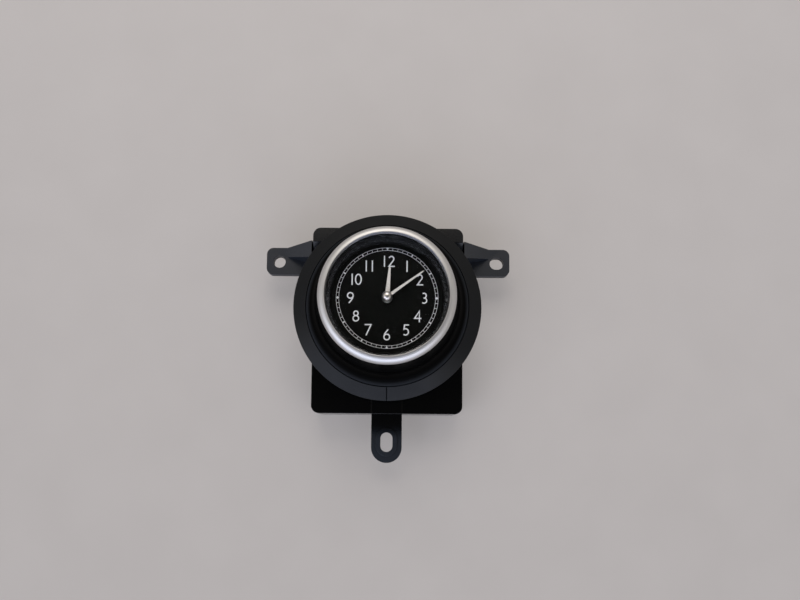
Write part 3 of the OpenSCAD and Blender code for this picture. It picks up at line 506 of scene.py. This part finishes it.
def painted(name, dark, pale, roughness, peel_mm, peel_depth_mm, shine=0.5):
    """A dry paint film with a slight orange peel."""
    made, tree, coords = new_material(name)
    peel = add(tree, "ShaderNodeTexNoise", {
        "Vector": coords, "Scale": per_metre(peel_mm), "Detail": PEEL_DETAIL})
    tone = add(tree, "ShaderNodeMixRGB", {
        "Fac": peel.outputs["Fac"], "Color1": linear(dark), "Color2": linear(pale)})
    bump = add(tree, "ShaderNodeBump", {
        "Height": peel.outputs["Fac"], "Strength": PEEL_STRENGTH, "Distance": peel_depth_mm * MM})
    shader = add(tree, "ShaderNodeBsdfPrincipled", {
        "Base Color": tone.outputs["Color"], "Roughness": roughness, "IOR": PAINT_IOR,
        "Specular IOR Level": shine, "Normal": bump.outputs["Normal"]})
    add(tree, "ShaderNodeOutputMaterial", {"Surface": shader.outputs["BSDF"]})
    return made


materials.update({
    "dial_lacquer": painted("black lacquer of the dial", "#050605", "#080908", 0.3, 0.6, 0.001, shine=0.1),
    "hand_metal": painted("silver lacquer of the hands", "#dbd5d0", "#e6e1dc", 0.32, 0.3, 0.004),
})
white_ink = painted("white printing ink", "#e7e8ed", "#f2f3f7", 0.5, 0.2, 0.002)
print("finishes:", len(materials) + 1)

# %% [markdown]
# ## Edges
# A mould cannot make a knife edge, and the thin bright lines along the real clock's edges come from small
# rounds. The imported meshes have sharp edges, and their faces are split there. A copy of each outer piece
# is welded, its flat triangles are joined, and every outer edge that turns by more than 30 degrees gets a
# round. Inner corners stay sharp, because they catch little light and their rounds could run into those
# of an edge nearby. A bevel modifier on the solid would be shorter, but it can't weld the split faces
# first and would leave the old normals in place. Edges that run into a thin point are left as they are,
# because a round there would shoot past the point. The weighted normals keep the large flat faces flat,
# so that only the rounds catch the light.

# %% Rounded copies of the outer pieces
record_slots = {part["node"]: part["material_slot"] for part in frame["record"]["subparts"]}
bodies = frame["record"]["behaviour"]["bodies"]
body_of = {node: body for body, members in bodies.items() for node in members}
WELD = 0.001 * MM
FLAT = math.radians(0.5)
SHARP = math.radians(30)
THIN_POINT = math.radians(25)
ROUND_STEPS = 3


def rounded(node, radius_mm):
    """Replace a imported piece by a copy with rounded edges, in its own finish."""
    shape = bmesh.new()
    shape.from_mesh(solids[node].data)
    bmesh.ops.remove_doubles(shape, verts=shape.verts, dist=WELD)
    bmesh.ops.dissolve_limit(shape, angle_limit=FLAT, verts=shape.verts, edges=shape.edges)
    points = {loop.vert for face in shape.faces for loop in face.loops if loop.calc_angle() < THIN_POINT}
    sharp = [edge for edge in shape.edges if edge.is_convex and edge.calc_face_angle() > SHARP]
    sharp = [edge for edge in sharp if points.isdisjoint(edge.verts)]
    bmesh.ops.bevel(shape, geom=sharp, offset=radius_mm * MM, offset_type="OFFSET", segments=ROUND_STEPS,
                    profile=0.5, affect="EDGES", clamp_overlap=False)
    mesh = bpy.data.meshes.new(node + "_rounded")
    shape.to_mesh(mesh)
    shape.free()
    mesh.shade_smooth()
    mesh.set_sharp_from_angle(angle=SHARP)
    piece = bpy.data.objects.new(node + "_rounded", mesh)
    bpy.context.scene.collection.objects.link(piece)
    flat_faces = piece.modifiers.new("flat faces", "WEIGHTED_NORMAL")
    flat_faces.keep_sharp = True
    mesh.materials.append(materials[record_slots[node]])
    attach(piece, body_of[node])
    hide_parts(node)
    return piece


EDGE_MM = {
    "main_housing": 0.1, "rear_cover": 0.25, "trim_ring": 0.12, "barrel": 0.12, "bezel": 0.15,
    "lens": 0.15, "connector_shell": 0.15, "cover_screws": 0.12, "minute_hand": 0.08, "hour_hand": 0.08,
}
for node, radius_mm in EDGE_MM.items():
    piece = rounded(node, radius_mm)
    print(piece.name, "faces:", len(piece.data.polygons))

# %% [markdown]
# ## The other solids
# The remaining pieces have the right shape as they are, most of them inside the case. Each takes the
# finish that the record names for it.

# %% Finishes of the solids that stay
for node, solid in solids.items():
    if node not in EDGE_MM:
        solid.data.materials.clear()
        solid.data.materials.append(materials[record_slots[node]])
print("solids with a new finish:", len(solids) - len(EDGE_MM))

# %% [markdown]
# ## The minute track
# The track is printed near the edge of the dial: two thin circles, a tick at each minute, a filled block
# at each hour, a small triangle at twelve and six and a lozenge at three and nine. It could be a texture,
# but a print made as a thin mesh stays crisp from any distance. Each mark is drawn along X and turned
# about the dial axis. Marks that lie over each other would go black where their top faces coincide. One
# triangulation of all marks of a print leaves no overlap, and its triangles are then given the thickness
# of ink.

# %% Minute track
dial_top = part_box("dial")[1].z
INK_T = 0.03 * MM
TRACK_OUT = 18.78 * MM
TRACK_IN = 17.68 * MM
TRACK_LINE = 0.13 * MM
TICK_W = 0.16 * MM
BLOCK_W = 0.45 * MM
LOZENGE = 0.55 * MM
CIRCLE_STEPS = 240
JOIN_MM = 0.0001
ALL_TRIANGLES = 0


def band(r_out, r_in):
    """A closed ring of ink, as short marks."""
    angles = [2 * math.pi * i / CIRCLE_STEPS for i in range(CIRCLE_STEPS + 1)]
    outer, inner = [[(r * math.cos(a), r * math.sin(a)) for a in angles] for r in (r_out, r_in)]
    return [[outer[i], outer[i + 1], inner[i + 1], inner[i]] for i in range(CIRCLE_STEPS)]


def turned(points, angle):
    """Points of an outline, turned about the dial axis."""
    c, s = math.cos(angle), math.sin(angle)
    return [(c * x - s * y, s * x + c * y) for x, y in points]


def inked(marks):
    """Points, in millimetres, and triangles that cover what any of the marks covers."""
    points = []
    pieces = []
    for mark in marks:
        spots = [Vector(spot) / MM for spot in mark]
        for b, c in zip(spots[1:], spots[2:]):
            swept = (b - spots[0]).cross(c - spots[0])
            if abs(swept) > JOIN_MM ** 2:
                pieces.append([len(points), len(points) + 1, len(points) + 2])
                points += [spots[0], b, c] if swept > 0 else [spots[0], c, b]
    spots, _, faces, _, _, covers = delaunay_2d_cdt(points, [], pieces, ALL_TRIANGLES, JOIN_MM, True)
    return spots, [face for face, cover in zip(faces, covers) if cover]


def ink_print(name, marks):
    """A printed piece on the dial: all marks as one flat shape, as thick as the ink."""
    points, faces = inked(marks)
    shape = bmesh.new()
    low = [shape.verts.new((p.x * MM, p.y * MM, dial_top)) for p in points]
    top = [shape.verts.new((p.x * MM, p.y * MM, dial_top + INK_T)) for p in points]
    edges = {(a, b) for face in faces for a, b in zip(face, face[1:] + face[:1])}
    for face in faces:
        shape.faces.new([low[i] for i in reversed(face)])
        shape.faces.new([top[i] for i in face])
    for a, b in sorted(edges):
        if (b, a) not in edges:
            shape.faces.new((low[a], low[b], top[b], top[a]))
    bmesh.ops.recalc_face_normals(shape, faces=shape.faces)
    mesh = bpy.data.meshes.new(name)
    shape.to_mesh(mesh)
    shape.free()
    mesh.materials.append(white_ink)
    piece = bpy.data.objects.new(name, mesh)
    bpy.context.scene.collection.objects.link(piece)
    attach(piece, "case")
    return piece


tick_in = TRACK_IN + TRACK_LINE / 2
tick_out = TRACK_OUT - TRACK_LINE / 2
track = band(TRACK_OUT, TRACK_OUT - TRACK_LINE) + band(TRACK_IN + TRACK_LINE, TRACK_IN)
middle = (tick_in + tick_out) / 2
for minute in range(60):
    angle = math.radians(6 * minute)
    if minute % 30 == 15:
        mark = [(tick_out, LOZENGE), (tick_in, 0), (tick_out, -LOZENGE)]
    elif minute % 30 == 0:
        mark = [(middle - LOZENGE, 0), (middle, -LOZENGE), (middle + LOZENGE, 0), (middle, LOZENGE)]
    else:
        half = (BLOCK_W if minute % 5 == 0 else TICK_W) / 2
        mark = [(tick_in, -half), (tick_out, -half), (tick_out, half), (tick_in, half)]
    track.append(turned(mark, angle))
print("minute track faces:", len(ink_print("minute_track", track).data.polygons))

# %% [markdown]
# ## The hour figures
# The figures are a plain humanist sans, upright, with a bar for the one. A font would bring its own
# shapes, so each figure is drawn as a few strokes: straight runs, arcs and one curve, about the figure's
# middle and in millimetres. A ribbon of ink follows each stroke.

# %% Strokes of the figures
FIGURE_H = 4.2
STROKE = 0.45
reach = (FIGURE_H - STROKE) / 2
full = FIGURE_H / 2


def arc(cx, cy, rx, ry, start, end, steps=16):
    """Points of an arc, from one angle to another, in degrees."""
    angles = [math.radians(start + (end - start) * i / steps) for i in range(steps + 1)]
    return [(cx + rx * math.cos(a), cy + ry * math.sin(a)) for a in angles]


def bow(first, pull, last, steps=12):
    """Points of a curve from first to last that leans towards pull."""
    made = []
    for i in range(steps + 1):
        t = i / steps
        weights = ((1 - t) ** 2, 2 * t * (1 - t), t ** 2)
        made.append(tuple(sum(w * p[k] for w, p in zip(weights, (first, pull, last))) for k in (0, 1)))
    return made


def oval(cx, cy, rx, ry):
    """A closed ring of points."""
    return arc(cx, cy, rx, ry, 0, 360, 32)


def about_turned(strokes):
    """The same strokes, upside down."""
    return [[(-x, -y) for x, y in stroke] for stroke in strokes]


FIGURES = {"1": [[(0, -full), (0, full)]]}
FIGURES["0"] = [oval(0, 0, 1.04, reach)]
FIGURES["2"] = [arc(-0.05, 0.9, 0.88, 0.95, 160, -32) + [(-0.92, -reach), (1.2, -reach)]]
FIGURES["3"] = [arc(-0.1, 0.97, 0.78, 0.88, 130, -90) + [(-0.3, 0.09)],
                [(-0.3, 0.09)] + arc(-0.12, -0.88, 0.98, 0.97, 90, -130)]
FIGURES["4"] = [[(0.52, -full), (0.52, full - 0.1), (-1.2, -0.66), (1.32, -0.66)]]
FIGURES["5"] = [[(1.1, reach), (-0.5, reach)] + arc(-0.15, -0.68, 1.05, 1.17, 122, -132)]
FIGURES["6"] = [oval(0, -0.81, 1.03, 1.04), bow((-1.03, -0.75), (-0.95, 0.55), (0.55, full - 0.1))]
FIGURES["7"] = [[(-1.3, reach), (1.05, reach), (-0.75, -full)]]
FIGURES["8"] = [oval(0.02, 1.02, 0.8, 0.83), oval(0, -0.85, 1.02, 1.0)]
FIGURES["9"] = about_turned(FIGURES["6"])
print("figures drawn:", "".join(sorted(FIGURES)))

# %% Ribbon of ink along a stroke
MITRE_LIMIT = 0.45


def ribbon(points):
    """Marks of a mitred ribbon along points; it closes where the last point meets the first."""
    closed = math.dist(points[0], points[-1]) < STROKE / 10
    line = [Vector((x, y)) * MM for x, y in (points[:-1] if closed else points)]
    count = len(line)
    sides = ([], [])
    for i, at in enumerate(line):
        before = (at - line[i - 1]).normalized() if closed or i else None
        after = (line[(i + 1) % count] - at).normalized() if closed or i < count - 1 else None
        heading = ((before or after) + (after or before)).normalized()
        across = Vector((-heading.y, heading.x))
        share = max(MITRE_LIMIT, heading.dot(after or before))
        for side, sign in zip(sides, (1, -1)):
            side.append(tuple(at + across * (sign * STROKE * MM / 2 / share)))
    left, right = sides
    runs = range(count) if closed else range(count - 1)
    return [[left[i], left[(i + 1) % count], right[(i + 1) % count], right[i]] for i in runs]


def figure(text, centre, spots_mm):
    """Marks of a figure of one or two digits about a point on the dial."""
    marks = []
    for digit, spot in zip(text, spots_mm):
        for stroke in FIGURES[digit]:
            for mark in ribbon(stroke):
                marks.append([(x + centre[0] + spot * MM, y + centre[1]) for x, y in mark])
    return marks


# %% Hour figures
FIGURE_RING = 13.68
NUDGE = {12: 0.65, 1: 0.4, 2: 0.15, 4: -0.5, 5: 0.15, 8: 0.45, 9: 0.17, 10: 0.57, 11: 0.17}
SPOTS = {10: (-1.66, 0.63), 11: (-1.12, 1.12), 12: (-1.76, 0.84)}
figures = []
for hour in range(1, 13):
    angle = math.radians(90 - 30 * hour)
    x = FIGURE_RING * math.cos(angle) + NUDGE.get(hour, 0)
    y = FIGURE_RING * math.sin(angle)
    figures += figure(str(hour), (x * MM, y * MM), SPOTS.get(hour, (0,)))
print("hour figures faces:", len(ink_print("hour_figures", figures).data.polygons))

# %% [markdown]
# ## Floor
# The clock lies on a plain pale table. In the photograph its shadow there is faint. A third of what the
# eye sees of the table is therefore its plain colour, and the rest is lit and keeps the shadow. Light
# Path tells the rays of the eye and of mirrors from the rays that carry light to the clock, which meet
# only the lit table.

# %% Floor
FLOOR_HALF = 2.0
FLOOR_GAP = 0.02 * MM
PLAIN_SHARE = 0.35
MOTTLE_MM = 30
MOTTLE_DETAIL = 3.0
TABLE_ROUGHNESS = 0.6
TABLE_IOR = 1.5
TABLE_SHINE = 0.2
floor_mesh = bpy.data.meshes.new("floor")
corners = [(x * FLOOR_HALF, y * FLOOR_HALF, 0) for x, y in ((-1, -1), (1, -1), (1, 1), (-1, 1))]
floor_mesh.from_pydata(corners, [], [(0, 1, 2, 3)])
floor = bpy.data.objects.new("floor", floor_mesh)
floor.location.z = cad_box[0][2] - FLOOR_GAP
bpy.context.scene.collection.objects.link(floor)


def pale_table():
    """Pale laminate; the eye sees a share of it as its plain colour and the rest lit."""
    made, tree, coords = new_material("pale laminate of the table")
    mottle = add(tree, "ShaderNodeTexNoise", {
        "Vector": coords, "Scale": per_metre(MOTTLE_MM), "Detail": MOTTLE_DETAIL})
    tone = add(tree, "ShaderNodeMixRGB", {
        "Fac": mottle.outputs["Fac"], "Color1": linear("#bab5b2"), "Color2": linear("#c1bcb9")})
    lit = add(tree, "ShaderNodeBsdfPrincipled", {
        "Base Color": tone.outputs["Color"], "Roughness": TABLE_ROUGHNESS, "IOR": TABLE_IOR,
        "Specular IOR Level": TABLE_SHINE})
    plain = add(tree, "ShaderNodeEmission", {"Color": tone.outputs["Color"]})
    path = add(tree, "ShaderNodeLightPath").outputs
    eye = add(tree, "ShaderNodeMath", {
        0: path["Is Camera Ray"], 1: path["Is Glossy Ray"]}, operation="MAXIMUM")
    seen = add(tree, "ShaderNodeMath", {
        0: eye.outputs[0], 1: path["Is Transmission Ray"]}, operation="MAXIMUM")
    share = add(tree, "ShaderNodeMath", {0: seen.outputs[0], 1: PLAIN_SHARE}, operation="MULTIPLY")
    both = add(tree, "ShaderNodeMixShader", {
        0: share.outputs[0], 1: lit.outputs["BSDF"], 2: plain.outputs["Emission"]})
    add(tree, "ShaderNodeOutputMaterial", {"Surface": both.outputs["Shader"]})
    made.cycles.emission_sampling = "NONE"
    return made


floor_mesh.materials.append(pale_table())
print("floor at", round(floor.location.z / MM, 2), "mm")

# %% [markdown]
# ## Light
# The light is a soft dome, as in a studio tent beside a window. The side towards six o'clock faces the
# window: it is brighter and cooler. It fades towards the horizon, which keeps the outer side of the bezel
# from glaring. Straight above it is dark, and the dark part leans towards six o'clock, because that is
# where the camera and its holder keep the light off. That dark cap is what the flat black faces and the
# lens mirror, so they look black. A soft lamp from twelve o'clock gives the chrome its highlights.

# %% Dome of light
ROOM_LEVEL = 0.55
WINDOW_LEVEL = 3.6
WINDOW_AXIS = (-0.25, -0.97, 0)
WINDOW_FROM, WINDOW_TO = 0.0, 0.85
HORIZON_SHARE = 0.2
HORIZON_TOP = math.sin(math.radians(50))
CAP_LEAN = math.radians(10)
CAP_HALF = math.radians(37)
CAP_SOFT = math.radians(6)
CAP_DARK = 0.03
dome = bpy.data.worlds.new("dome")
bpy.context.scene.world = dome
dome.use_nodes = True
sky = dome.node_tree
sky.nodes.clear()
direction = add(sky, "ShaderNodeTexCoord").outputs["Generated"]
around = add(sky, "ShaderNodeVectorMath", {0: direction, 1: (1, 1, 0)}, operation="MULTIPLY")
heading = add(sky, "ShaderNodeVectorMath", {0: around.outputs["Vector"]}, operation="NORMALIZE")
facing = add(sky, "ShaderNodeVectorMath", {
    0: heading.outputs["Vector"], 1: WINDOW_AXIS}, operation="DOT_PRODUCT")
window = add(sky, "ShaderNodeMapRange", {
    "Value": facing.outputs["Value"], "From Min": WINDOW_FROM, "From Max": WINDOW_TO},
    interpolation_type="SMOOTHSTEP")
height = add(sky, "ShaderNodeSeparateXYZ", {"Vector": direction}).outputs["Z"]
above = add(sky, "ShaderNodeMapRange", {
    "Value": height, "From Min": 0.0, "From Max": HORIZON_TOP, "To Min": HORIZON_SHARE, "To Max": 1.0})
opening = add(sky, "ShaderNodeMath", {
    0: window.outputs["Result"], 1: above.outputs["Result"]}, operation="MULTIPLY")
wall = add(sky, "ShaderNodeMapRange", {
    "Value": opening.outputs[0], "To Min": ROOM_LEVEL, "To Max": WINDOW_LEVEL})
cap_axis = (0, -math.sin(CAP_LEAN), math.cos(CAP_LEAN))
towards_cap = add(sky, "ShaderNodeVectorMath", {0: direction, 1: cap_axis}, operation="DOT_PRODUCT")
cap = add(sky, "ShaderNodeMapRange", {
    "Value": towards_cap.outputs["Value"], "From Min": math.cos(CAP_HALF + CAP_SOFT),
    "From Max": math.cos(CAP_HALF - CAP_SOFT), "To Min": 1.0, "To Max": CAP_DARK},
    interpolation_type="SMOOTHSTEP")
level = add(sky, "ShaderNodeMath", {
    0: wall.outputs["Result"], 1: cap.outputs["Result"]}, operation="MULTIPLY")
tint = add(sky, "ShaderNodeMixRGB", {
    "Fac": window.outputs["Result"], "Color1": linear("#fffaf4"), "Color2": linear("#e6ecff")})
background = add(sky, "ShaderNodeBackground", {
    "Color": tint.outputs["Color"], "Strength": level.outputs[0]})
add(sky, "ShaderNodeOutputWorld", {"Surface": background.outputs["Background"]})
print("dome from", ROOM_LEVEL, "to", WINDOW_LEVEL)

# %% Key lamp
KEY_AT = Vector((-0.03, 0.48, 0.53))
KEY_W = 0.5
KEY_H = 0.38
KEY_WATTS = 1.75
key_data = bpy.data.lights.new("key", "AREA")
key_data.shape = "RECTANGLE"
key_data.size = KEY_W
key_data.size_y = KEY_H
key_data.energy = KEY_WATTS
key_data.color = linear("#fff8f0")[:3]
key = bpy.data.objects.new("key", key_data)
key.location = KEY_AT
key.rotation_euler = (-KEY_AT).to_track_quat("-Z", "Y").to_euler()
bpy.context.scene.collection.objects.link(key)
print("key lamp at", [round(v, 2) for v in KEY_AT], "m")
